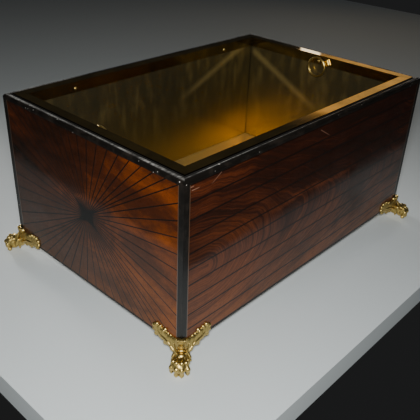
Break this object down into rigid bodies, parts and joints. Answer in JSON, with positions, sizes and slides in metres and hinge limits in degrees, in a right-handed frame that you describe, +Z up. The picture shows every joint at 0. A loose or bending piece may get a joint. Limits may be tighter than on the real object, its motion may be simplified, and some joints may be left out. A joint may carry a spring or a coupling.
{
  "type": "planter box",
  "caption": "Rectangular table planter: veneered and inlaid wooden case on cast paw feet, with a lift-out metal liner that hangs by its rim and has a lifting ring at each end.",
  "frame": {"origin": "on the floor under the middle of the case", "axes": "+X along the case towards its right end, +Y from the front long side to the back one, +Z up"},
  "size_m": [0.492, 0.344, 0.2168],
  "materials": {
    "veneer": "polished rosewood-like veneer",
    "ebonised": "black polished",
    "pale_line": "polished boxwood line",
    "carcass": "plain sawn softwood, stained inside",
    "foot_brass": "cast, darkened in the hollows",
    "liner_brass": "sheet, tarnished",
    "ring_brass": "polished",
    "screw_steel": "plain"
  },
  "bodies": {
    "case": {"carcass_front": "carcass", "carcass_back": "carcass", "carcass_left": "carcass", "carcass_right": "carcass", "bottom_board": "carcass", "corner_post_front_left": "ebonised", "corner_post_front_right": "ebonised", "corner_post_back_right": "ebonised", "corner_post_back_left": "ebonised", "base_line_front": "ebonised", "light_lines_front": "pale_line", "veneer_front": "veneer", "base_line_back": "ebonised", "light_lines_back": "pale_line", "veneer_back": "veneer", "base_line_left": "ebonised", "light_lines_left": "pale_line", "veneer_left": "veneer", "base_line_right": "ebonised", "light_lines_right": "pale_line", "veneer_right": "veneer", "stringing_front": "ebonised", "stringing_back": "ebonised", "sunburst_left": "ebonised", "sunburst_right": "ebonised", "top_bead_front": "ebonised", "top_bead_back": "ebonised", "top_bead_left": "ebonised", "top_bead_right": "ebonised", "foot_front_left": "foot_brass", "foot_front_right": "foot_brass", "foot_back_right": "foot_brass", "foot_back_left": "foot_brass", "foot_pins": "foot_brass", "foot_screws": "screw_steel", "bottom_screws": "screw_steel"},
    "liner": {"liner_tray": "liner_brass", "liner_rim_front": "liner_brass", "liner_rim_back": "liner_brass", "liner_rim_left": "liner_brass", "liner_rim_right": "liner_brass", "collar_rivets": "ring_brass", "ring_lug_left": "ring_brass", "ring_lug_right": "ring_brass"},
    "ring_left": {"lifting_ring_left": "ring_brass"},
    "ring_right": {"lifting_ring_right": "ring_brass"}
  },
  "joints": [
    {"name": "liner_lift", "type": "slide", "parent": "case", "child": "liner", "axis": [0, 0, 1], "range_m": [0, 0.18]},
    {"name": "ring_left_swing", "type": "hinge", "parent": "liner", "child": "ring_left", "pos_m": [-0.1992, 0.01203, 0.20707], "axis": [0, -0.4848, 0.8746], "range_deg": [-5, 165]},
    {"name": "ring_right_swing", "type": "hinge", "parent": "liner", "child": "ring_right", "pos_m": [0.1992, -0.01203, 0.20707], "axis": [0, 0.4848, 0.8746], "range_deg": [-5, 165]}
  ]
}
